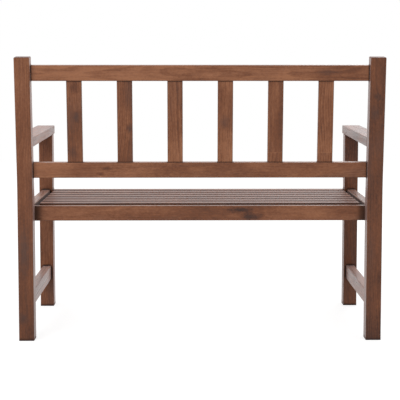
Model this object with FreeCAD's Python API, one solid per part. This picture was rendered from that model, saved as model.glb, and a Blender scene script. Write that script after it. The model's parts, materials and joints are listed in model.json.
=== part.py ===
import FreeCAD, Part
import math
import os

from FreeCAD import Vector

# Slatted two-seat garden bench with raked back posts and open arms. Millimetres, +Z up.
# The sitter faces -Y. "Left" is -X and "right" is +X, as the bench is seen from its front.
# The origin is on the floor, under the middle of the whole bench.
# While a piece is drawn, y = 0 is the rear face of the rear feet, and distances forward of it
# are positive numbers. The last step slides every piece so that the origin is centred.

# Overall frame
overall_width = 1150.0
overall_height = 900.0
leg_size = 48.0
leg_spacing = 497.0

# Rear legs: upright foot, then a post that leans back
rake_angle = 5.3
bend_height = 505.0
bend_radius = 900.0
post_depth = 42.0

# Seat frame
seat_rail_top = 425.0
seat_rail_height = 47.5
seat_rail_thickness = 24.0
side_rail_thickness = 30.0
front_rail_setback = 18.0

# Seat slats and the battens under them
seat_slat_count = 7
seat_slat_width = 48.0
seat_slat_thickness = 19.0
seat_slat_rise = 4.0
seat_slat_end_gap = 11.0
batten_width = 24.0
side_batten_width = 38.0
batten_height = 32.0

# Lower stretchers
stretcher_bottom = 99.5
stretcher_height = 48.0
stretcher_thickness = 30.0

# Armrests
arm_top_at_post = 645.0
arm_rise_angle = 0.9
arm_thickness = 30.0
arm_front_overhang = 25.0
arm_side_overhang = 15.0
arm_rear_inset = 3.0
arm_taper_length = 270.0
arm_under_chamfer = 2.0

# Back panel, measured up the rake from the bend in the rear legs
back_rail_thickness = 22.0
back_rail_height = 49.0
bottom_rail_rise = 11.0
top_rail_drop = 26.0
back_slat_count = 6
back_slat_width = 48.0
back_slat_thickness = 14.0

# Rounded and chamfered edges
leg_round = 2.5
rail_round = 2.5
slat_round = 2.0
top_chamfer = 2.0

# Mortise and tenon joints
tenon_thickness = 12.0
tenon_length = 26.0
seat_tenon_height = 22.0
seat_tenon_drop = 6.0
stretcher_tenon_height = 34.0
arm_tenon_width = 28.0
arm_tenon_length = 22.0
leg_tenon_size = 24.0
leg_tenon_length = 18.0
slat_tenon_thickness = 8.0
slat_tenon_shoulder = 4.0
slat_tenon_length = 14.0
batten_tenon_height = 18.0
batten_tenon_wall = 1.0
joint_gap = 0.15

# Bolted knock-down joints: connector bolt, barrel nut and locating dowel
bolt_diameter = 6.0
bolt_head_diameter = 17.0
bolt_head_height = 3.0
bolt_socket_size = 4.0
bolt_socket_depth = 2.4
bolt_head_recess = 4.0
bolt_recess_diameter = 18.0
bolt_past_nut = 2.0
nut_diameter = 10.0
nut_length = 16.0
nut_from_rail_end = 50.0
dowel_diameter = 8.0
dowel_in_frame = 12.0
dowel_in_rail = 18.0
seat_bolt_drop = 36.0
seat_dowel_drop = 14.0
back_bolt_rise = 15.5
back_dowel_rise = 35.5
bolt_gap = 0.3
bore_gap = 0.1

# Countersunk screws that hold the seat slats from below
screw_diameter = 4.0
screw_length = 44.0
screw_head_diameter = 8.0
screw_head_height = 2.6

# Flats on nuts, whose ends show, on rods that are out of sight, and on hexagons
nut_flat_count = 8
hidden_rod_flat_count = 6
hexagon_flat_count = 6

# Places worked out from the sizes above
lean = math.radians(rake_angle)
rise = math.radians(arm_rise_angle)
leg_outer_x = overall_width / 2
leg_inner_x = leg_outer_x - leg_size
leg_middle_x = leg_outer_x - leg_size / 2
side_rail_inner_x = leg_middle_x - side_rail_thickness / 2
side_rail_outer_x = leg_middle_x + side_rail_thickness / 2
front_leg_front = leg_spacing + leg_size

post_length = (overall_height - bend_height - post_depth * math.sin(lean)) / math.cos(lean)
front_bend_height = bend_height - (leg_size * math.cos(lean) - post_depth) / math.sin(lean)

seat_rail_bottom = seat_rail_top - seat_rail_height
rear_rail_rear = leg_size
rear_rail_front = rear_rail_rear + seat_rail_thickness
front_rail_front = front_leg_front - front_rail_setback
front_rail_rear = front_rail_front - seat_rail_thickness
rear_rail_middle = rear_rail_rear + seat_rail_thickness / 2
front_rail_middle = front_rail_rear + seat_rail_thickness / 2
seat_bolt_height = seat_rail_top - seat_bolt_drop
seat_dowel_height = seat_rail_top - seat_dowel_drop

seat_top = seat_rail_top + seat_slat_rise
seat_slat_bottom = seat_top - seat_slat_thickness
seat_slat_half_length = leg_inner_x - seat_slat_end_gap
seat_clear = front_rail_rear - rear_rail_front
seat_slat_gap = (seat_clear - seat_slat_count * seat_slat_width) / (seat_slat_count + 1)
seat_slat_pitch = seat_slat_width + seat_slat_gap
first_seat_slat = rear_rail_front + seat_slat_gap + seat_slat_width / 2
seat_slat_middles = [first_seat_slat + i * seat_slat_pitch for i in range(seat_slat_count)]

batten_bottom = seat_slat_bottom - batten_height
side_batten_x = (side_rail_inner_x - side_batten_width, side_rail_inner_x)
side_batten_middle = sum(side_batten_x) / 2
batten_middles = [-side_batten_middle, 0.0, side_batten_middle]
side_screw_x = (side_batten_x[0] + seat_slat_half_length) / 2
screw_lines = [-side_screw_x, 0.0, side_screw_x]
largest_bore = max(bolt_diameter / 2 + bolt_gap, dowel_diameter / 2 + bore_gap)
batten_tenon_length = seat_rail_thickness / 2 - largest_bore - batten_tenon_wall

top_rail_bottom = post_length - top_rail_drop - back_rail_height
bottom_rail_top = bottom_rail_rise + back_rail_height
back_rail_rear = post_depth - back_rail_thickness
back_rail_middle = post_depth - back_rail_thickness / 2
back_slat_gap = (2 * leg_inner_x - back_slat_count * back_slat_width) / (back_slat_count + 1)
back_slat_pitch = back_slat_width + back_slat_gap
first_back_slat = -leg_inner_x + back_slat_gap + back_slat_width / 2
back_slat_middles = [first_back_slat + i * back_slat_pitch for i in range(back_slat_count)]

arm_outer_x = leg_outer_x + arm_side_overhang
arm_rear_x = leg_outer_x - arm_rear_inset
arm_start = leg_size - (arm_top_at_post - front_bend_height) * math.tan(lean)
arm_length = (front_leg_front + arm_front_overhang - arm_start) / math.cos(rise)


# Basic shapes

ACROSS = Vector(1, 0, 0)
FORWARD = Vector(0, -1, 0)
UP = Vector(0, 0, 1)


def block(x, forward, z):
    """Box between pairs of limits across, forward of the rear feet, and up."""
    corner = Vector(x[0], -forward[1], z[0])
    return Part.makeBox(x[1] - x[0], forward[1] - forward[0], z[1] - z[0], corner)


def about(middle, size):
    """Pair of limits, size apart, about a middle."""
    return (middle - size / 2, middle + size / 2)


def socket(x, forward, z):
    """Cutter for the mortise of a tenon with these limits."""
    return block(*[(low - joint_gap, high + joint_gap) for low, high in (x, forward, z)])


def bar(x, forward, z, along, radius, lowest=-math.inf):
    """Box with its long edges rounded, above a lowest height, and its ends left square."""
    shape = block(x, forward, z)
    edges = [e for e in shape.Edges if abs(e.tangentAt(e.FirstParameter).dot(along)) > 0.999]
    return shape.makeFillet(radius, [e for e in edges if e.CenterOfMass.z > lowest])


def polygon(diameter, middle, direction, sides):
    """Regular outline square to a direction, its corners on a circle of this diameter."""
    first = ACROSS if abs(direction.z) > 0.5 else UP
    second = direction.cross(first)
    angles = [2 * math.pi * (i + 0.5) / sides for i in range(sides)]
    corners = [middle + (first * math.cos(a) + second * math.sin(a)) * (diameter / 2) for a in angles]
    return Part.makePolygon(corners + corners[:1])


def rod(diameter, length, start, direction, sides=hidden_rod_flat_count):
    """Straight rod with flats. Shanks, pegs and their bores are out of sight, so a few will do."""
    return Part.Face(polygon(diameter, start, direction, sides)).extrude(direction * length)


def tapered(start, end):
    """Solid with flat sides between two outlines that have as many corners."""
    low = [v.Point for v in start.OrderedVertexes]
    high = [v.Point for v in end.OrderedVertexes]
    faces = [Part.Face(start), Part.Face(end)]
    for i in range(len(low)):
        j = (i + 1) % len(low)
        faces.append(Part.Face(Part.makePolygon([low[i], low[j], high[j], high[i], low[i]])))
    return Part.makeSolid(Part.makeShell(faces))


def on_rake(shape):
    """Moves a shape from upright back-panel coordinates to the leaning post."""
    shape.rotate(Vector(0, 0, 0), Vector(1, 0, 0), -rake_angle)
    shape.translate(Vector(0, 0, bend_height))
    return shape


def on_arm(shape):
    """Moves a shape from level arm coordinates, top face at 0, to the sloping arm."""
    shape.rotate(Vector(0, 0, 0), Vector(1, 0, 0), -arm_rise_angle)
    shape.translate(Vector(0, -arm_start, arm_top_at_post))
    return shape


def arm_underside(forward):
    """Height of the arm's lower face at a distance forward of the rear feet."""
    return arm_top_at_post + (forward - arm_start) * math.tan(rise) - arm_thickness / math.cos(rise)


# Fasteners. Each is drawn to size, or larger by a gap when it is used as a cutter.


def connector_bolt(frame_face, rail_end, gap=0.0):
    """Bolt along -X, its head sunk in the frame's outer face, at y = z = 0."""
    head_seat = frame_face - bolt_head_recess
    tip = rail_end - nut_from_rail_end - nut_diameter / 2 - bolt_past_nut
    shank = rod(bolt_diameter + 2 * gap, head_seat - tip + gap, Vector(head_seat, 0, 0), -ACROSS)
    seat = Vector(head_seat, 0, 0)
    if gap:
        return shank.fuse(Part.makeCylinder(bolt_recess_diameter / 2, 2 * bolt_head_recess, seat, ACROSS))
    head = Part.makeCylinder(bolt_head_diameter / 2, bolt_head_height, seat, ACROSS)
    across_corners = bolt_socket_size / math.cos(math.pi / hexagon_flat_count)
    mouth = seat + ACROSS * bolt_head_height
    key = rod(across_corners, bolt_socket_depth, mouth, -ACROSS, hexagon_flat_count)
    return shank.fuse(head).cut(key)


def barrel_nut(rail_end, entry, gap=0.0, run_out=0.0):
    """Cross nut on the bolt's line, put in from the entry side, at y = z = 0."""
    middle = Vector(rail_end - nut_from_rail_end, 0, 0)
    start = middle - entry * (nut_length / 2 + gap)
    body = rod(nut_diameter + 2 * gap, nut_length + 2 * gap + run_out, start, entry, nut_flat_count)
    if gap:
        return body
    thread = rod(bolt_diameter + 2 * bore_gap, nut_diameter * 2, middle + ACROSS * nut_diameter, -ACROSS)
    return body.cut(thread)


def dowel(rail_end, gap=0.0):
    """Locating dowel across the joint, at y = z = 0."""
    start = Vector(rail_end - dowel_in_rail - gap, 0, 0)
    length = dowel_in_rail + dowel_in_frame + 2 * gap
    return rod(dowel_diameter + 2 * gap, length, start, ACROSS)


def slat_screw(gap=0.0):
    """Countersunk wood screw, pointing up, the flat of its head at z = 0."""
    neck = screw_diameter + 2 * gap
    shank_length = screw_length - screw_head_height + gap
    rim = polygon(screw_head_diameter + 2 * gap, Vector(0, 0, 0), UP, hexagon_flat_count)
    throat = polygon(neck, UP * screw_head_height, UP, hexagon_flat_count)
    shank = rod(neck, shank_length, UP * screw_head_height, UP, hexagon_flat_count)
    return tapered(rim, throat).fuse(shank)


# Joint families: the rails that meet the right-hand side frame, with their bolt and dowel places


def moved(shape, forward, z):
    """Slides a shape to its place forward and up."""
    shape.translate(Vector(0, -forward, z))
    return shape


seat_joints = [
    {"face": side_rail_outer_x, "end": side_rail_inner_x, "forward": rear_rail_middle},
    {"face": leg_outer_x, "end": leg_inner_x, "forward": front_rail_middle},
]
nut_entries = [FORWARD, -FORWARD]
back_rail_bottoms = [bottom_rail_rise, top_rail_bottom]


def seat_joint(index, gap=0.0):
    """Bolt, nut and dowel of one right-hand seat rail joint."""
    joint = seat_joints[index]
    run_out = seat_rail_thickness if gap else 0.0
    bolt = connector_bolt(joint["face"], joint["end"], bolt_gap if gap else 0.0)
    nut = barrel_nut(joint["end"], nut_entries[index], gap, run_out)
    return {
        "bolt": moved(bolt, joint["forward"], seat_bolt_height),
        "nut": moved(nut, joint["forward"], seat_bolt_height),
        "dowel": moved(dowel(joint["end"], gap), joint["forward"], seat_dowel_height),
    }


def back_joint(rail_bottom, gap=0.0):
    """Bolt, nut and dowel of one right-hand back rail joint."""
    run_out = back_rail_height if gap else 0.0
    bolt = connector_bolt(leg_outer_x, leg_inner_x, bolt_gap if gap else 0.0)
    nut = barrel_nut(leg_inner_x, -UP, gap, run_out)
    return {
        "bolt": on_rake(moved(bolt, back_rail_middle, rail_bottom + back_bolt_rise)),
        "nut": on_rake(moved(nut, back_rail_middle, rail_bottom + back_bolt_rise)),
        "dowel": on_rake(moved(dowel(leg_inner_x, gap), back_rail_middle, rail_bottom + back_dowel_rise)),
    }


def mirrored(shape):
    """The same shape on the left-hand side."""
    return shape.mirror(Vector(0, 0, 0), ACROSS)


def cut_all(shape, cutters):
    """Cuts a list of shapes out of one."""
    for cutter in cutters:
        shape = shape.cut(cutter)
    return shape


def both_sides(cutters):
    """A list of shapes with its mirror images."""
    return cutters + [mirrored(cutter) for cutter in cutters]


# Tenons, as limits across, forward and up, on the right-hand side


def seat_rail_tenons():
    """Rear and front tenons of a side seat rail, kept above the bolt of the front rail."""
    top = seat_rail_top - seat_tenon_drop
    x = about(leg_middle_x, tenon_thickness)
    z = (top - seat_tenon_height, top)
    rear = (x, (leg_size - tenon_length, leg_size), z)
    front = (x, (leg_spacing, leg_spacing + tenon_length), z)
    return rear, front


def stretcher_tenons():
    """Rear and front tenons of a lower stretcher."""
    x = about(leg_middle_x, tenon_thickness)
    z = about(stretcher_bottom + stretcher_height / 2, stretcher_tenon_height)
    rear = (x, (leg_size - tenon_length, leg_size), z)
    front = (x, (leg_spacing, leg_spacing + tenon_length), z)
    return rear, front


def arm_tenon():
    """Tenon at the rear of an arm, in arm coordinates. It starts inside the arm."""
    x = about(leg_middle_x, arm_tenon_width)
    z = about(-arm_thickness / 2, tenon_thickness)
    return x, (-arm_tenon_length, arm_tenon_length / 2), z


def leg_tenon():
    """Tenon on top of a front leg. It starts inside the leg."""
    middle = leg_spacing + leg_size / 2
    shoulder = arm_underside(middle)
    z = (shoulder - leg_tenon_length, shoulder + leg_tenon_length)
    return about(leg_middle_x, leg_tenon_size), about(middle, leg_tenon_size), z


def batten_tenons(middle):
    """Rear and front stub tenons of a seat batten."""
    x = about(middle, tenon_thickness)
    z = about(batten_bottom + batten_height / 2, batten_tenon_height)
    rear = (x, (rear_rail_front - batten_tenon_length, rear_rail_front), z)
    front = (x, (front_rail_rear, front_rail_rear + batten_tenon_length), z)
    return rear, front


def slat_tenons(middle):
    """Lower and upper tenons of a back slat, in back-panel coordinates."""
    x = about(middle, back_slat_width - 2 * slat_tenon_shoulder)
    forward = about(back_rail_middle, slat_tenon_thickness)
    lower = (x, forward, (bottom_rail_top - slat_tenon_length, bottom_rail_top))
    upper = (x, forward, (top_rail_bottom, top_rail_bottom + slat_tenon_length))
    return lower, upper


# Side frames


def leg_blend(corner):
    """Start, middle and end of the large arc that rounds a bend of the rear leg."""
    reach = bend_radius * math.tan(lean / 2)
    centre = Vector(0, corner.y + bend_radius, corner.z - reach)
    half = Vector(0, -math.cos(lean / 2), math.sin(lean / 2))
    end = Vector(0, -math.cos(lean), math.sin(lean))
    return corner - UP * reach, centre + half * bend_radius, centre + end * bend_radius


def rear_leg_outline():
    """Side outline of a rear leg: both faces bend, and the post above is thinner."""
    up_rake = Vector(0, math.sin(lean), math.cos(lean))
    off_rear = Vector(0, -math.cos(lean), math.sin(lean))
    rear_foot = Vector(0, 0, 0)
    front_foot = Vector(0, -leg_size, 0)
    rear_bend = Vector(0, 0, bend_height)
    front_bend = Vector(0, -leg_size, front_bend_height)
    rear_top = rear_bend + up_rake * post_length
    front_top = rear_top + off_rear * post_depth
    rear_arc = leg_blend(rear_bend)
    front_arc = leg_blend(front_bend)
    edges = [
        Part.LineSegment(rear_foot, rear_arc[0]),
        Part.Arc(*rear_arc),
        Part.LineSegment(rear_arc[2], rear_top),
        Part.LineSegment(rear_top, front_top),
        Part.LineSegment(front_top, front_arc[2]),
        Part.Arc(*front_arc),
        Part.LineSegment(front_arc[0], front_foot),
        Part.LineSegment(front_foot, rear_foot),
    ]
    return Part.Wire([edge.toShape() for edge in edges])


def rear_leg():
    """Right rear leg, sawn to a bend, with its mortises and bolt holes."""
    leg = Part.Face(rear_leg_outline()).extrude(ACROSS * leg_size)
    leg.translate(Vector(leg_inner_x, 0, 0))
    sides = [e for e in leg.Edges if e.BoundBox.XLength < leg_size / 2]
    long_edges = [e for e in sides if e.BoundBox.ZLength > leg_size]
    leg = leg.makeFillet(leg_round, long_edges)
    top_edges = [e for e in leg.Edges if e.BoundBox.ZMin > overall_height - post_depth / 4]
    leg = leg.makeChamfer(top_chamfer, top_edges)
    mortises = [socket(*seat_rail_tenons()[0]), socket(*stretcher_tenons()[0])]
    mortises.append(on_arm(socket(*arm_tenon())))
    for rail_bottom in back_rail_bottoms:
        joint = back_joint(rail_bottom, bore_gap)
        mortises += [joint["bolt"], joint["dowel"]]
    return cut_all(leg, mortises)


def front_leg():
    """Right front leg: square, its top cut to the arm's slope under a tenon."""
    x = (leg_inner_x, leg_outer_x)
    leg = bar(x, (leg_spacing, front_leg_front), (0, arm_top_at_post), UP, leg_round)
    above_arm = block(about(leg_middle_x, 2 * leg_size), (0, 2 * arm_length), (-arm_thickness, leg_size))
    leg = leg.cut(on_arm(above_arm))
    joint = seat_joint(1, bore_gap)
    mortises = [socket(*seat_rail_tenons()[1]), socket(*stretcher_tenons()[1])]
    return cut_all(leg, mortises + [joint["bolt"], joint["dowel"]]).fuse(block(*leg_tenon()))


def side_seat_rail():
    """Right side seat rail, with a tenon at each end and the rear rail's bolt hole."""
    x = (side_rail_inner_x, side_rail_outer_x)
    z = (seat_rail_bottom, seat_rail_top)
    rail = bar(x, (leg_size, leg_spacing), z, FORWARD, rail_round)
    for tenon in seat_rail_tenons():
        rail = rail.fuse(block(*tenon))
    joint = seat_joint(0, bore_gap)
    return cut_all(rail, [joint["bolt"], joint["dowel"]])


def lower_stretcher():
    """Right lower stretcher, with a tenon at each end."""
    x = about(leg_middle_x, stretcher_thickness)
    z = (stretcher_bottom, stretcher_bottom + stretcher_height)
    stretcher = bar(x, (leg_size, leg_spacing), z, FORWARD, rail_round)
    for tenon in stretcher_tenons():
        stretcher = stretcher.fuse(block(*tenon))
    return stretcher


def arm_outline():
    """Plan of the right arm: parallel in front, drawn in by one long arc towards the post."""
    spare = arm_thickness
    narrowing = arm_outer_x - arm_rear_x
    radius = (arm_taper_length ** 2 + narrowing ** 2) / (2 * narrowing)
    half_turn = math.asin(arm_taper_length / radius) / 2
    middle = Vector(
        arm_outer_x - radius * (1 - math.cos(half_turn)),
        -arm_taper_length + radius * math.sin(half_turn),
        0,
    )
    rear_inner = Vector(leg_inner_x, spare, 0)
    front_inner = Vector(leg_inner_x, -arm_length, 0)
    front_outer = Vector(arm_outer_x, -arm_length, 0)
    taper_start = Vector(arm_outer_x, -arm_taper_length, 0)
    taper_end = Vector(arm_rear_x, 0, 0)
    rear_outer = Vector(arm_rear_x, spare, 0)
    edges = [
        Part.LineSegment(rear_inner, front_inner),
        Part.LineSegment(front_inner, front_outer),
        Part.LineSegment(front_outer, taper_start),
        Part.Arc(taper_start, middle, taper_end),
        Part.LineSegment(taper_end, rear_outer),
        Part.LineSegment(rear_outer, rear_inner),
    ]
    return Part.Wire([edge.toShape() for edge in edges])


def armrest():
    """Right arm: rounded above, chamfered below, trimmed to the leaning post and tenoned into it."""
    arm = Part.Face(arm_outline()).extrude(-UP * arm_thickness)
    rims = [e for e in arm.Edges if e.BoundBox.ZLength < arm_thickness / 2 and e.CenterOfMass.y < 0]
    upper_rim = [e for e in rims if e.CenterOfMass.z > -arm_thickness / 2]
    arm = arm.makeFillet(rail_round, upper_rim)
    under_edges = [e for e in arm.Edges if e.BoundBox.ZMax < -arm_thickness / 2 and e.CenterOfMass.y < 0]
    arm = on_arm(arm.makeChamfer(arm_under_chamfer, under_edges))
    post = block(about(leg_middle_x, 3 * leg_size), (-leg_size, post_depth), (0, post_length))
    arm = arm.cut(on_rake(post)).fuse(on_arm(block(*arm_tenon())))
    return arm.cut(socket(*leg_tenon()))


# Seat


def rear_seat_rail():
    """Rail across the front of the rear legs, bolted between the side rails."""
    half = side_rail_inner_x
    x = (-half, half)
    z = (seat_rail_bottom, seat_rail_top)
    rail = bar(x, (rear_rail_rear, rear_rail_front), z, ACROSS, rail_round)
    holes = both_sides(list(seat_joint(0, bore_gap).values()))
    holes += [socket(*batten_tenons(middle)[0]) for middle in batten_middles]
    return cut_all(rail, holes)


def front_seat_rail():
    """Rail between the front legs, bolted through them."""
    x = (-leg_inner_x, leg_inner_x)
    z = (seat_rail_bottom, seat_rail_top)
    rail = bar(x, (front_rail_rear, front_rail_front), z, ACROSS, rail_round)
    holes = both_sides(list(seat_joint(1, bore_gap).values()))
    holes += [socket(*batten_tenons(middle)[1]) for middle in batten_middles]
    return cut_all(rail, holes)


def screw_at(screw_x, slat_middle, gap=0.0):
    """One slat screw, or its cutter, flush with the underside of a batten."""
    return slat_screw(gap).translated(Vector(screw_x, -slat_middle, batten_bottom))


def seat_batten(x, screw_x):
    """Bearer under the seat slats, with stub tenons and countersunk screw holes."""
    z = (batten_bottom, seat_slat_bottom)
    batten = block(x, (rear_rail_front, front_rail_rear), z)
    for tenon in batten_tenons(sum(x) / 2):
        batten = batten.fuse(block(*tenon))
    return cut_all(batten, [screw_at(screw_x, slat_middle, bore_gap) for slat_middle in seat_slat_middles])


def side_seat_batten():
    """Right batten, against the inner face of the side rail and notched round the front leg."""
    leg = socket((leg_inner_x, leg_outer_x), (leg_spacing, front_leg_front), (0, seat_top))
    return seat_batten(side_batten_x, side_screw_x).cut(leg)


def seat_slat(slat_middle):
    """One seat slat, its upper edges rounded, with a pilot hole over each batten."""
    x = (-seat_slat_half_length, seat_slat_half_length)
    z = (seat_slat_bottom, seat_top)
    slat = bar(x, about(slat_middle, seat_slat_width), z, ACROSS, slat_round, seat_slat_bottom)
    return cut_all(slat, [screw_at(screw_x, slat_middle, bore_gap) for screw_x in screw_lines])


# Back


def back_rail(rail_bottom, tenon_end):
    """Back rail between the posts. Its slat mortises are those of the lower or upper tenons."""
    x = (-leg_inner_x, leg_inner_x)
    z = (rail_bottom, rail_bottom + back_rail_height)
    rail = bar(x, (back_rail_rear, post_depth), z, ACROSS, rail_round)
    rail = cut_all(rail, [socket(*slat_tenons(middle)[tenon_end]) for middle in back_slat_middles])
    return cut_all(on_rake(rail), both_sides(list(back_joint(rail_bottom, bore_gap).values())))


def back_slat(middle):
    """One upright back slat, with a shouldered tenon at each end."""
    z = (bottom_rail_top, top_rail_bottom)
    forward = about(back_rail_middle, back_slat_thickness)
    slat = bar(about(middle, back_slat_width), forward, z, UP, slat_round)
    for tenon in slat_tenons(middle):
        slat = slat.fuse(block(*tenon))
    return on_rake(slat)


# The whole bench

nodes = {}


def add_pair(name, shape):
    """Stores a right-hand piece and its left-hand mirror image."""
    nodes[name + "_right"] = shape
    nodes[name + "_left"] = mirrored(shape)


def add_group(name, shapes):
    """Stores identical fasteners as one group of separate solids."""
    nodes[name] = Part.makeCompound(both_sides(shapes))


add_pair("rear_leg", rear_leg())
add_pair("front_leg", front_leg())
add_pair("side_seat_rail", side_seat_rail())
add_pair("lower_stretcher", lower_stretcher())
add_pair("armrest", armrest())
add_pair("seat_batten", side_seat_batten())

nodes["seat_batten_middle"] = seat_batten(about(0.0, batten_width), 0.0)
nodes["rear_seat_rail"] = rear_seat_rail()
nodes["front_seat_rail"] = front_seat_rail()
for number, slat_middle in enumerate(seat_slat_middles, start=1):
    nodes["seat_slat_%d" % number] = seat_slat(slat_middle)

nodes["back_bottom_rail"] = back_rail(bottom_rail_rise, 0)
nodes["back_top_rail"] = back_rail(top_rail_bottom, 1)
for number, middle in enumerate(back_slat_middles, start=1):
    nodes["back_slat_%d" % number] = back_slat(middle)

seat_fixings = [seat_joint(index) for index in range(len(seat_joints))]
back_fixings = [back_joint(rail_bottom) for rail_bottom in back_rail_bottoms]
add_group("seat_frame_bolts", [joint["bolt"] for joint in seat_fixings])
add_group("seat_frame_barrel_nuts", [joint["nut"] for joint in seat_fixings])
add_group("seat_frame_dowels", [joint["dowel"] for joint in seat_fixings])
add_group("back_rail_bolts", [joint["bolt"] for joint in back_fixings])
add_group("back_rail_barrel_nuts", [joint["nut"] for joint in back_fixings])
add_group("back_rail_dowels", [joint["dowel"] for joint in back_fixings])
nodes["seat_slat_screws"] = Part.makeCompound(
    [screw_at(screw_x, slat_middle) for screw_x in screw_lines for slat_middle in seat_slat_middles]
)

rear_end = nodes["rear_leg_right"].optimalBoundingBox(False, False).YMax
front_end = nodes["armrest_right"].optimalBoundingBox(False, False).YMin
to_origin = Vector(0, -(rear_end + front_end) / 2, 0)

os.makedirs("parts", exist_ok=True)
for name, shape in nodes.items():
    shape.translate(to_origin)
    shape.exportStep("parts/%s.step" % name)
print("%d nodes, rear feet at y = %.2f" % (len(nodes), to_origin.y))
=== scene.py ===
"""The looks of a slatted garden bench.

Stained wood, plated steel and bare beech, on a pale floor in soft light.
"""

import json
import math
import random
from dataclasses import dataclass

import bpy
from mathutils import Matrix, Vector


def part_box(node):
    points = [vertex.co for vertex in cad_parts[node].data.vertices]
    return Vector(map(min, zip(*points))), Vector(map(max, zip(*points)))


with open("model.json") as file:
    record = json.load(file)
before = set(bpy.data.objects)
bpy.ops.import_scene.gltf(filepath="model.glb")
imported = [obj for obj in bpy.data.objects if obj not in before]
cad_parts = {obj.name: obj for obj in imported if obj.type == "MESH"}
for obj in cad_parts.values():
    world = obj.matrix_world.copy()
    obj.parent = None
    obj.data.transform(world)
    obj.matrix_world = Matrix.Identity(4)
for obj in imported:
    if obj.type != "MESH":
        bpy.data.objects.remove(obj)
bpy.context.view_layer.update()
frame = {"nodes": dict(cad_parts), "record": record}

# The lean of the back and the rear legs: the height in metres at which it starts, and its angle
BEND_HEIGHT = 0.505
RAKE = math.radians(5.3)

# Camera: its place in metres, its angles, and its lens and sensor in millimetres
CAMERA_PLACE = Vector((0.0348, 3.6083, 0.8708))
CAMERA_YAW = math.radians(-0.585)
CAMERA_PITCH = math.radians(4.612)
CAMERA_LENS = 96.24
CAMERA_SHIFT_Y = -0.12
SENSOR_WIDTH = 36.0

# Lamps: place and target in metres, and power in watts
LAMPS = {
    "key": ((2.2, 3.6, 3.2), (0.0, 0.2, 0.5), 60.0),
    "front": ((-1.8, -3.4, 2.8), (0.0, 0.0, 0.4), 40.0),
}
LAMP_WIDTH = 2.6

# The fill light of the world, and the floor: its width, its grey, and its glow towards the camera
WORLD_FILL = 0.72
FLOOR_WIDTH = 12.0
FLOOR_GREY = (0.40, 0.40, 0.40)
FLOOR_GLOW = 0.78
WHITE = (1.0, 1.0, 1.0)

# Colours, linear. Those of the grain go from the darkest to the palest.
GRAIN_COLOURS = (
    (0.022, 0.0085, 0.0050),
    (0.085, 0.0270, 0.0120),
    (0.215, 0.0740, 0.0310),
    (0.400, 0.1650, 0.0800),
)
COOL_STAIN = (0.110, 0.0560, 0.0420)
EARLY_END_GRAIN = (0.090, 0.0330, 0.0180)
LATE_END_GRAIN = (0.036, 0.0132, 0.0072)
ZINC_COLOURS = ((0.30, 0.29, 0.26), (0.62, 0.60, 0.55))
BEECH_COLOURS = ((0.34, 0.20, 0.10), (0.62, 0.42, 0.24))

# The stain, where 0 is the darkest grain and 1 the palest: the usual level, how far boards differ
# from it by chance, and how much darker the seat is
STAIN_LEVEL = 0.715
STAIN_CHANCE = 0.03
SEAT_TONE = -0.08

# How boards grow and are sawn: the steepest slant of the grain to either side, and in metres the
# distance of the pith and the width of a ring, from least to most, and how far the rings stray
GRAIN_SLANT = 0.06
PITH_DISTANCE = (0.03, 0.08)
RING_WIDTH = (0.0035, 0.0060)
WANDER = 0.070
RIPPLE = 0.006

# Where two lengths are glued, the grain jumps this far in metres, and a thin pale line shows,
# which starts at the first distance from the joint and is full at the second
SEAM_JUMP = (0.06, 0.0, 0.9)
SEAM_LINE = (0.0022, 0.0006)

# Reach of dirt and painted shade from another piece, in metres: in joints and in the seat's gaps
JOINT_REACH = 0.006
SEAT_GAP_REACH = 0.020

# The heights in metres at which a foot starts to darken and is darkest
FOOT_DARKENING = (0.012, 0.002)

# How much rougher than its finish the wood gets with its fibres, ends, dirt and painted shade, and
# streaks
FIBRE_ROUGHNESS = 0.10
END_ROUGHNESS = 0.25
DIRT_AND_SHADE_ROUGHNESS = 0.45
STREAK_ROUGHNESS = 0.60

# Which axis the grain of a piece follows; the rest of the names stand upright
GRAIN_ALONG_X = ("rear_seat_rail", "front_seat_rail", "seat_slat", "back_bottom_rail", "back_top_rail")
GRAIN_ALONG_Y = ("side_seat_rail", "lower_stretcher", "armrest", "seat_batten")


@dataclass
class Finish:
    """How a kind of board darkens with dirt and painted shade, wears and shines.

    reach is how near another piece has to be for the darkening to gather, in metres, and side_reach
    the same on faces that look sideways, where it differs. shade gives the shares of open surroundings
    at which the darkening starts and is full. The next three fields say how dark it gets in joints,
    where it is dirt and painted shade, and in the seat's gaps and beside the posts, where it is
    painted shade; how dark the painted shade on rounded upper edges is; and how much darker a foot
    gets towards the floor. Arrises show arris_share of arris_colour: pale wear on most boards, and
    painted shade on the back boards and the rear seat rail. sheen is the pale veil of oiled wood at
    a flat angle.
    """

    reach: float = JOINT_REACH
    side_reach: float = 0.0
    shade: tuple = (0.97, 0.65)
    dirt_and_shade: float = 0.97
    edge_shade: float = 0.0
    foot_darkness: float = 0.0
    arris_share: float = 0.12
    arris_colour: tuple = GRAIN_COLOURS[-1]
    roughness: float = 0.28
    sheen: float = 0.25
    sheen_colour: tuple = (1.0, 0.90, 0.91)


LEG = {"foot_darkness": 0.75, "sheen": 0.50, "sheen_colour": (1.0, 0.76, 0.73)}
# Painted shade on the rounded edges of the back boards and the rear seat rail
SHADED_ARRIS = {"arris_share": 0.40, "arris_colour": GRAIN_COLOURS[1]}
SEAT_SHADE = (0.95, 0.62)

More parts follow.
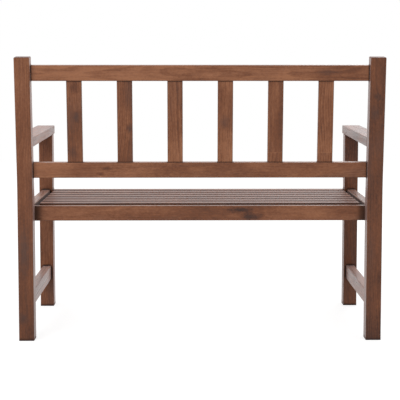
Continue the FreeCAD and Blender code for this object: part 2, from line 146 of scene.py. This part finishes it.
# The finish of each kind of board, by the start of its name; the others have the plain one
FINISHES = {
    # Painted shade in the seat's gaps on slats, battens and side rails, and on the slats' rounded upper
    # edges
    "seat_slat": Finish(
        side_reach=SEAT_GAP_REACH, shade=SEAT_SHADE, dirt_and_shade=0.60, edge_shade=0.92,
        roughness=0.40, sheen=0.30, sheen_colour=(1.0, 0.78, 0.75),
    ),
    "seat_batten": Finish(reach=SEAT_GAP_REACH, shade=SEAT_SHADE, dirt_and_shade=0.93),
    "side_seat_rail": Finish(side_reach=SEAT_GAP_REACH, shade=SEAT_SHADE, dirt_and_shade=0.93),
    # The rear seat rail's wide reach paints shadow on its ends beside the posts
    "rear_seat_rail": Finish(reach=0.036, dirt_and_shade=0.82, **SHADED_ARRIS),
    "back_": Finish(**SHADED_ARRIS),
    # The front legs' wider reach paints more shade in their joints, most under the armrests
    "front_leg": Finish(reach=0.010, **LEG),
    "rear_leg": Finish(**LEG),
    "lower_stretcher": Finish(sheen=0.60, sheen_colour=(1.0, 0.84, 0.84)),
    "armrest": Finish(sheen=0.45, sheen_colour=(1.0, 0.82, 0.82)),
}


@dataclass
class Waves:
    """Noise in a board: its waves a metre across and along the grain, and a shift of its own."""

    across: float
    along: float
    shift: float
    detail: float = 2.0
    roughness: float = 0.5


WANDER_WAVES = Waves(across=7.0, along=1.5, shift=0.0)
RIPPLE_WAVES = Waves(across=60.0, along=6.0, shift=5.0)
CLOUD_WAVES = Waves(across=17.0, along=7.0, shift=7.0, detail=3.0, roughness=0.6)
COOL_WAVES = Waves(across=11.0, along=3.2, shift=31.0)
STREAK_WAVES = Waves(across=130.0, along=2.2, shift=3.0, detail=4.0, roughness=0.65)
MOTTLE_WAVES = Waves(across=190.0, along=95.0, shift=23.0, detail=3.0, roughness=0.7)
FLECK_WAVES = Waves(across=420.0, along=42.0, shift=13.0, detail=3.0, roughness=0.7)
FIBRE_WAVES = Waves(across=1100.0, along=16.0, shift=11.0, roughness=0.6)
PORE_WAVES = Waves(across=1500.0, along=70.0, shift=19.0, detail=1.0)


@dataclass
class Patch:
    """A knot, a cloud in the stain or a pool of painted light through a board: its middle and size, in
    metres.

    darkness below 0 makes it pale. swirl is how far the growth rings are pushed aside, in
    metres, and coolness how grey the stain turns.
    """

    x: float
    z: float
    width: float
    height: float
    darkness: float
    swirl: float = 0.0
    coolness: float = 0.0

    # The ragged edge: its waves a metre, and how far they move it as a share of the half size
    EDGE_WAVES = 70.0
    EDGE_SPREAD = 0.9

    def nearness(self, shader):
        """1 at the middle of the patch, and 0 at its ragged edge and beyond."""
        place = shader.place()
        x, _, z = shader.split(place)
        across = shader.number("DIVIDE", shader.number("SUBTRACT", x, self.x), self.width / 2)
        up = shader.number("DIVIDE", shader.number("SUBTRACT", z, self.z), self.height / 2)
        ragged = shader.number("SUBTRACT", shader.noise(place, self.EDGE_WAVES, 3.0, 0.6), 0.5)
        distance = shader.plus(shader.length(shader.join(across, up, 0.0)), ragged, self.EDGE_SPREAD)
        return shader.ease(distance, 1.0, 0.0)


# What is special about single boards. tone is paler above 0, and fade makes the far end paler:
# the end at +X, or the top. figure is how strongly rings, clouds and streaks show. seam is the
# height in metres of a joint where two lengths were glued together. A patch is a knot, a cloud
# or painted light, and its numbers are x, z, width, height, darkness, swirl and coolness.
BOARDS = {
    "back_top_rail": {"tone": 0.17, "fade": 0.18, "figure": 0.95, "patches": (
        # Paler ends beside the posts: painted light that lifts the shade the posts cast on the rail
        Patch(0.527, 0.850, 0.10, 0.40, -0.18),
        Patch(-0.527, 0.850, 0.10, 0.40, -0.14),
        Patch(-0.015, 0.841, 0.14, 0.020, -0.20),
        Patch(-0.40, 0.850, 0.10, 0.030, 0.12, 0.0, 0.3),
        Patch(-0.040, 0.862, 0.13, 0.016, 0.18, 0.004),
        Patch(0.26, 0.845, 0.16, 0.020, -0.08),
    )},
    "back_bottom_rail": {"tone": 0.16, "fade": 0.14, "figure": 0.85, "patches": (
        # A paler end beside the post: painted light that lifts the shade the post casts on the rail
        Patch(0.527, 0.540, 0.10, 0.40, -0.18),
        Patch(0.294, 0.548, 0.045, 0.018, 0.34, 0.014),
        Patch(0.313, 0.530, 0.040, 0.014, 0.28, 0.010),
        Patch(0.150, 0.540, 0.22, 0.050, 0.00, 0.030),
        Patch(0.0, 0.540, 0.70, 0.40, 0.10),
    )},
    "rear_seat_rail": {"tone": 0.09, "figure": 0.65, "patches": (
        Patch(-0.127, 0.411, 0.120, 0.027, 0.52, 0.008, 0.15),
        Patch(-0.164, 0.391, 0.090, 0.033, 0.52, 0.008, 0.30),
        Patch(-0.110, 0.392, 0.070, 0.020, -0.10),
        Patch(0.0, 0.400, 0.80, 0.40, 0.19),
    )},
    "rear_leg_right": {"tone": -0.04, "fade": 0.25, "figure": 0.6, "patches": (
        Patch(0.556, 0.290, 0.060, 0.220, 0.14, 0.0, 0.7),
        Patch(0.560, 0.072, 0.050, 0.050, 0.10, 0.003, 0.5),
        Patch(0.551, 0.000, 0.40, 0.24, 0.11),
    )},
    "rear_leg_left": {"tone": -0.21, "fade": 0.10, "figure": 0.6, "patches": (
        Patch(-0.551, 0.775, 0.030, 0.040, 0.16, 0.004, 0.3),
        Patch(-0.545, 0.722, 0.040, 0.070, 0.10, 0.0, 0.5),
        Patch(-0.551, 0.225, 0.40, 0.30, -0.11),
        Patch(-0.551, 0.000, 0.40, 0.22, 0.13),
    )},
    "back_slat_1": {"tone": 0.10, "seam": 0.598},
    "back_slat_2": {"tone": 0.05, "seam": 0.598},
    "back_slat_3": {"tone": 0.13, "patches": (
        Patch(-0.075, 0.694, 0.045, 0.060, 0.08, 0.0, 0.5),
    )},
    "back_slat_4": {"tone": 0.16},
    "back_slat_5": {"tone": -0.04, "patches": (
        Patch(0.222, 0.674, 0.030, 0.045, 0.32, 0.004, 0.4),
    )},
    "back_slat_6": {"tone": 0.01, "patches": (
        Patch(0.390, 0.800, 0.060, 0.050, 0.24, 0.003),
        Patch(0.388, 0.710, 0.045, 0.050, 0.22, 0.002, 0.6),
        Patch(0.400, 0.601, 0.040, 0.060, 0.20, 0.002, 0.3),
    )},
    "front_leg_right": {"tone": 0.05},
    "front_leg_left": {"tone": -0.19, "fade": -0.14, "figure": 0.6, "patches": (
        Patch(-0.551, 0.370, 0.40, 0.36, -0.14),
    )},
    "armrest_right": {"tone": 0.08, "figure": 1.6},
    "armrest_left": {"tone": -0.18, "figure": 1.6},
    "lower_stretcher_right": {"tone": 0.14},
    "lower_stretcher_left": {"tone": 0.14},
}


class Nodes:
    """A node tree, with a short method for each kind of node."""

    def __init__(self, owner):
        owner.use_nodes = True
        self.tree = owner.node_tree

    def feed(self, socket, value):
        if isinstance(value, bpy.types.NodeSocket):
            self.tree.links.new(value, socket)
        elif socket.type == "RGBA":
            socket.default_value = opaque(value)
        else:
            socket.default_value = value

    def add(self, kind, inputs, **settings):
        node = self.tree.nodes.new(kind)
        for key, value in settings.items():
            setattr(node, key, value)
        for key, value in inputs.items():
            self.feed(node.inputs[key], value)
        return node

    def place(self):
        """The point on the bench, in metres."""
        return self.add("ShaderNodeTexCoord", {}).outputs["Object"]

    def facing(self):
        """How far the surface looks along each axis, from 0 to 1."""
        return self.vector("ABSOLUTE", self.add("ShaderNodeTexCoord", {}).outputs["Normal"])

    def number(self, operation, *values):
        return self.add("ShaderNodeMath", dict(enumerate(values)), operation=operation).outputs[0]

    def vector(self, operation, *values):
        return self.add("ShaderNodeVectorMath", dict(enumerate(values)), operation=operation).outputs[0]

    def plus(self, value, part, weight):
        return self.number("ADD", value, self.number("MULTIPLY", part, weight))

    def length(self, value):
        return self.add("ShaderNodeVectorMath", {0: value}, operation="LENGTH").outputs["Value"]

    def split(self, value):
        return self.add("ShaderNodeSeparateXYZ", {0: value}).outputs

    def join(self, x, y, z):
        return self.add("ShaderNodeCombineXYZ", {0: x, 1: y, 2: z}).outputs[0]

    def noise(self, place, scale, detail, roughness):
        inputs = {"Vector": place, "Scale": scale, "Detail": detail, "Roughness": roughness}
        return self.add("ShaderNodeTexNoise", inputs).outputs["Fac"]

    def ease(self, value, low, high, to_low=0.0, to_high=1.0):
        """A smooth step from to_low, where value is low, to to_high, where it is high."""
        ends = {"From Min": low, "From Max": high, "To Min": to_low, "To Max": to_high}
        inputs = {"Value": value, **ends}
        return self.add("ShaderNodeMapRange", inputs, interpolation_type="SMOOTHSTEP").outputs[0]

    def blend(self, share, first, second):
        return self.add("ShaderNodeMix", {0: share, 6: first, 7: second}, data_type="RGBA").outputs[2]

    def ramp(self, value, colours):
        """The colours at even steps, while value goes from 0 to 1."""
        node = self.add("ShaderNodeValToRGB", {0: value})
        stops = node.color_ramp.elements
        stops[1].position = 1.0
        for i in range(1, len(colours) - 1):
            stops.new(i / (len(colours) - 1))
        for stop, colour in zip(stops, colours):
            stop.color = opaque(colour)
        return node.outputs[0]

    def bump(self, height, strength, distance):
        inputs = {"Strength": strength, "Distance": distance, "Height": height}
        return self.add("ShaderNodeBump", inputs).outputs[0]

    def seen(self):
        """1 where the camera looks, also in a reflection or through glass, and 0 for mere light."""
        path = self.add("ShaderNodeLightPath", {}).outputs
        seen = self.number("MAXIMUM", path["Is Camera Ray"], path["Is Glossy Ray"])
        return self.number("MAXIMUM", seen, path["Is Transmission Ray"])


class Shader(Nodes):
    """The nodes of one new material."""

    def __init__(self, name):
        self.material = bpy.data.materials.new(name)
        super().__init__(self.material)
        self.surface = self.tree.nodes["Principled BSDF"]

    def coat(self, inputs):
        """Feed the sockets of the surface, by their names."""
        for key, value in inputs.items():
            self.feed(self.surface.inputs[key], value)


def opaque(colour):
    return (*colour, 1.0)


def grain_axis(name):
    """0, 1 or 2, for grain along X, Y or Z."""
    if name.startswith(GRAIN_ALONG_X):
        return 0
    if name.startswith(GRAIN_ALONG_Y):
        return 1
    return 2


def finish_of(name):
    for start, finish in FINISHES.items():
        if name.startswith(start):
            return finish
    return Finish()


class Wood(Shader):
    """The stained wood of one board, with tone, fade, figure, patches and seam as in BOARDS."""

    def __init__(self, name, tone=0.0, fade=0.0, figure=1.0, patches=(), seam=None):
        super().__init__("stained_wood_" + name)
        self.axis = grain_axis(name)
        self.finish = finish_of(name)
        self.chance = random.Random(name)
        self.start = [self.chance.uniform(-50, 50) for _ in range(3)]
        board = self.place_in_board(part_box(name))
        self.seam_line = 0.0
        if seam:
            board, self.seam_line = self.glued(board, seam)
        self.board, self.along = self.sawn_aslant(board)
        near_patches = [(patch, patch.nearness(self)) for patch in patches]

        self.late = self.late_wood(near_patches)
        self.streak = self.waves(STREAK_WAVES)
        self.fibre = self.waves(FIBRE_WAVES)
        self.pore = self.ease(self.waves(PORE_WAVES), 0.10, 0.19)
        self.end = self.ease(self.split(self.facing())[self.axis], 0.45, 0.75)
        dirt_and_shade = self.dirt_and_shade()

        colour = self.stain(tone, fade, figure, near_patches)
        colour = self.blend(self.end, colour, self.blend(self.late, EARLY_END_GRAIN, LATE_END_GRAIN))
        # Rounded edges show pale wear on most boards, and painted shade on the back boards and the rear
        # seat rail
        arris = self.number("MULTIPLY", self.arris(), self.finish.arris_share)
        colour = self.blend(arris, colour, self.finish.arris_colour)
        self.coat({
            # Dirt and painted shade turn the colour towards the darkest grain
            "Base Color": self.blend(dirt_and_shade, colour, GRAIN_COLOURS[0]),
            "Roughness": self.roughness(dirt_and_shade),
            "Specular IOR Level": 0.30,
            "Sheen Weight": self.finish.sheen,
            "Sheen Roughness": 0.35,
            "Sheen Tint": self.finish.sheen_colour,
            "Normal": self.relief(),
        })

    def place_in_board(self, box):
        """Place from the middle of the board: across its face, through it and along its grain."""
        low, high = box
        centre = (low + high) / 2
        place = self.place()
        if self.axis != 1:
            place = self.straightened(place)
            centre.y -= max(0.0, centre.z - BEND_HEIGHT) * math.tan(RAKE)
        x, y, z = self.split(self.vector("SUBTRACT", place, centre))
        across, depth, along = ((z, y, x), (x, z, y), (x, y, z))[self.axis]
        return self.join(across, depth, along)

    def straightened(self, place):
        """Place with the lean of the back taken out, so that a raked board stands upright."""
        x, y, z = self.split(place)
        above = self.number("MAXIMUM", self.number("SUBTRACT", z, BEND_HEIGHT), 0.0)
        return self.join(x, self.plus(y, above, -math.tan(RAKE)), z)

    def glued(self, board, height):
        """Place in the board with a jump at a height where two lengths meet, and the line there."""
        above = self.number("SUBTRACT", self.split(self.place())[2], height)
        below = self.number("LESS_THAN", above, 0.0)
        jump = self.vector("MULTIPLY", self.join(below, 0.0, below), SEAM_JUMP)
        line = self.ease(self.number("ABSOLUTE", above), *SEAM_LINE)
        return self.vector("ADD", board, jump), line

    def sawn_aslant(self, board):
        """Place in a board that was not sawn quite along its grain, and how far along it is."""
        across, depth, along = self.split(board)
        across = self.plus(across, along, self.chance.uniform(-GRAIN_SLANT, GRAIN_SLANT))
        return self.join(across, depth, along), along

    def waves(self, waves):
        """Noise in the board, centred on nothing."""
        moved = self.vector("MULTIPLY", self.board, (waves.across, waves.across, waves.along))
        place = self.vector("ADD", moved, [v + waves.shift for v in self.start])
        return self.number("SUBTRACT", self.noise(place, 1.0, waves.detail, waves.roughness), 0.5)

    def late_wood(self, near_patches):
        """Growth rings round a pith outside the board, from which the board wanders."""
        angle = self.chance.uniform(0, 2 * math.pi)
        distance = self.chance.uniform(*PITH_DISTANCE)
        pith = (distance * math.cos(angle), distance * math.sin(angle), 0.0)
        across, depth, _ = self.split(self.vector("SUBTRACT", self.board, pith))
        radius = self.length(self.join(across, depth, 0.0))
        radius = self.plus(radius, self.waves(WANDER_WAVES), WANDER)
        radius = self.plus(radius, self.waves(RIPPLE_WAVES), RIPPLE)
        for patch, near in near_patches:
            radius = self.plus(radius, near, patch.swirl)

        # Each ring darkens slowly, ends sharply and has a strength of its own
        turns = self.number("DIVIDE", radius, self.chance.uniform(*RING_WIDTH))
        ring = self.number("FRACT", turns)
        late = self.number("MULTIPLY", self.ease(ring, 0.15, 0.80), self.ease(ring, 1.0, 0.92))
        ring_number = self.join(self.number("FLOOR", turns), self.start[0], 0.0)
        strength = self.ease(self.noise(ring_number, 1.0, 0.0, 0.5), 0.25, 0.75, 0.3, 1.0)
        return self.number("MULTIPLY", late, strength)

    def stain(self, tone, fade, figure, near_patches):
        """The colour of the stain. Each part of the grain has a weight: above 0 it makes it paler."""
        value = STAIN_LEVEL + tone + self.chance.uniform(-STAIN_CHANCE, STAIN_CHANCE)
        for part, weight in (
            (self.late, -0.20 * figure),
            (self.waves(CLOUD_WAVES), 0.85 * figure),
            (self.streak, 0.27 * figure),
            (self.waves(MOTTLE_WAVES), 0.42),
            (self.waves(FLECK_WAVES), 0.24),
            (self.fibre, 0.16),
            (self.pore, -0.08),
            (self.along, fade),
            (self.seam_line, 0.10),
        ):
            value = self.plus(value, part, weight)
        cool = self.ease(self.waves(COOL_WAVES), 0.02, 0.22, 0.0, 0.45)
        for patch, near in near_patches:
            value = self.plus(value, near, -patch.darkness)
            cool = self.number("MAXIMUM", cool, self.number("MULTIPLY", near, patch.coolness))
        return self.blend(cool, self.ramp(value, GRAIN_COLOURS), COOL_STAIN)

    def arris(self):
        """1 where the surface looks along no axis, broken up by the streaks, and 0 on end grain."""
        x, y, z = self.split(self.facing())
        squareness = self.number("MAXIMUM", self.number("MAXIMUM", x, y), z)
        rounded = self.ease(squareness, 0.975, 0.85)
        arris = self.number("MULTIPLY", rounded, self.ease(self.streak, -0.15, 0.10))
        return self.number("MULTIPLY", arris, self.number("SUBTRACT", 1.0, self.end))

    def dirt_and_shade(self):
        """Dirt and painted shade in joints, painted shade by the seat's gaps, and feet darker at the
        floor.
        """
        finish = self.finish
        upward = self.split(self.facing())[2]
        reach = finish.reach
        if finish.side_reach:
            reach = self.ease(upward, 0.95, 0.60, finish.reach, finish.side_reach)
        # Ambient occlusion finds the joints and gaps that get dirt and painted shade
        crevice = self.add("ShaderNodeAmbientOcclusion", {"Distance": reach}, samples=8)
        dirt_and_shade = self.ease(crevice.outputs["AO"], *finish.shade, 0.0, finish.dirt_and_shade)
        # Painted shade on the rounded upper edges of the seat slats, which look into the gaps
        if finish.edge_shade:
            not_flat = self.ease(upward, 0.985, 0.85)
            edge = self.number("MULTIPLY", not_flat, self.ease(upward, 0.05, 0.35))
            dirt_and_shade = self.number("MAXIMUM", dirt_and_shade, self.number("MULTIPLY", edge, finish.edge_shade))
        # Feet get darker towards the floor
        if finish.foot_darkness:
            height = self.split(self.place())[2]
            dirt_and_shade = self.number("MAXIMUM", dirt_and_shade, self.ease(height, *FOOT_DARKENING, 0.0, finish.foot_darkness))
        return dirt_and_shade

    def roughness(self, dirt_and_shade):
        gloss = self.finish.roughness
        rough = self.ease(self.fibre, -0.2, 0.2, gloss, gloss + FIBRE_ROUGHNESS)
        rough = self.plus(rough, self.end, END_ROUGHNESS)
        rough = self.plus(rough, dirt_and_shade, DIRT_AND_SHADE_ROUGHNESS)
        return self.plus(rough, self.streak, STREAK_ROUGHNESS)

    def relief(self):
        """Fibres stand up a little from the pores and the late wood."""
        height = self.plus(self.plus(self.fibre, self.pore, -0.6), self.late, -0.3)
        return self.bump(height, 0.05, 0.0001)


def plated_steel():
    """Dull zinc plating: cloudy colour and a soft, slightly uneven gloss."""
    shader = Shader("plated_steel_zinc")
    cloud = shader.noise(shader.place(), 260.0, 3.0, 0.6)
    shader.coat({
        "Base Color": shader.ramp(cloud, ZINC_COLOURS),
        "Metallic": 1.0,
        "Roughness": shader.ease(cloud, 0.3, 0.7, 0.28, 0.50),
        "Normal": shader.bump(cloud, 0.2, 0.0001),
    })
    return shader.material


def bare_beech():
    """Pale turned beech with its short flecks."""
    shader = Shader("bare_beech_pegs")
    place = shader.vector("MULTIPLY", shader.place(), (40.0, 700.0, 700.0))
    fleck = shader.noise(place, 1.0, 3.0, 0.6)
    shader.coat({
        "Base Color": shader.ramp(fleck, BEECH_COLOURS),
        "Roughness": 0.6,
        "Normal": shader.bump(fleck, 0.3, 0.0002),
    })
    return shader.material


def dress(name, material):
    for slot in frame["nodes"][name].material_slots:
        slot.material = material


def pale_floor():
    """A wide white floor that shows the camera plain white with a faint shadow."""
    bpy.ops.mesh.primitive_plane_add(size=FLOOR_WIDTH, location=(0.0, 0.0, 0.0))
    floor = bpy.context.object
    floor.name = "floor"
    shader = Shader("floor_paper")
    shader.tree.nodes.remove(shader.surface)
    paper = shader.add("ShaderNodeBsdfDiffuse", {"Color": FLOOR_GREY}).outputs[0]
    glow = shader.add("ShaderNodeEmission", {"Color": WHITE, "Strength": FLOOR_GLOW}).outputs[0]
    nothing = shader.add("ShaderNodeEmission", {"Strength": 0.0}).outputs[0]
    extra = shader.add("ShaderNodeMixShader", {0: shader.seen(), 1: nothing, 2: glow}).outputs[0]
    whole = shader.add("ShaderNodeAddShader", {0: paper, 1: extra}).outputs[0]
    shader.feed(shader.tree.nodes["Material Output"].inputs["Surface"], whole)
    floor.data.materials.append(shader.material)


def white_world():
    """White to the camera and in reflections, and a plain fill light to everything else."""
    world = bpy.data.worlds.new("studio")
    bpy.context.scene.world = world
    nodes = Nodes(world)
    limits = {"To Min": WORLD_FILL, "To Max": 1.0}
    level = nodes.add("ShaderNodeMapRange", {"Value": nodes.seen(), **limits})
    background = nodes.tree.nodes["Background"].inputs
    nodes.feed(background["Color"], WHITE)
    nodes.feed(background["Strength"], level.outputs[0])


def soft_light(name, place, target, power):
    lamp = bpy.data.lights.new(name, "AREA")
    lamp.shape = "DISK"
    lamp.size = LAMP_WIDTH
    lamp.energy = power
    holder = bpy.data.objects.new(name, lamp)
    holder.location = place
    holder.rotation_euler = (Vector(target) - Vector(place)).to_track_quat("-Z", "Y").to_euler()
    bpy.context.scene.collection.objects.link(holder)


def photo_camera():
    """Behind the bench and a little to one side, as high as its top rail, looking slightly down."""
    camera = bpy.data.cameras.new("camera")
    camera.sensor_width = SENSOR_WIDTH
    camera.lens = CAMERA_LENS
    camera.shift_y = CAMERA_SHIFT_Y
    holder = bpy.data.objects.new("camera", camera)
    level = math.cos(CAMERA_PITCH)
    forward = Vector((
        math.sin(CAMERA_YAW) * level,
        -math.cos(CAMERA_YAW) * level,
        -math.sin(CAMERA_PITCH),
    ))
    holder.location = CAMERA_PLACE
    holder.rotation_euler = forward.to_track_quat("-Z", "Y").to_euler()
    bpy.context.scene.collection.objects.link(holder)
    bpy.context.scene.camera = holder


# Wood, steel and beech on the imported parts
slots = {part["node"]: part["material_slot"] for part in frame["record"]["subparts"]}
for name in [name for name, slot in slots.items() if slot == "stained_wood"]:
    usual = {"tone": SEAT_TONE} if name.startswith("seat_slat") else {}
    dress(name, Wood(name, **BOARDS.get(name, usual)).material)
hardware = {"plated_steel": plated_steel(), "bare_beech": bare_beech()}
for name in [name for name, slot in slots.items() if slot in hardware]:
    dress(name, hardware[slots[name]])

pale_floor()
white_world()
for name, (place, target, power) in LAMPS.items():
    soft_light(name, place, target, power)
photo_camera()

bpy.context.scene.view_settings.view_transform = "Standard"
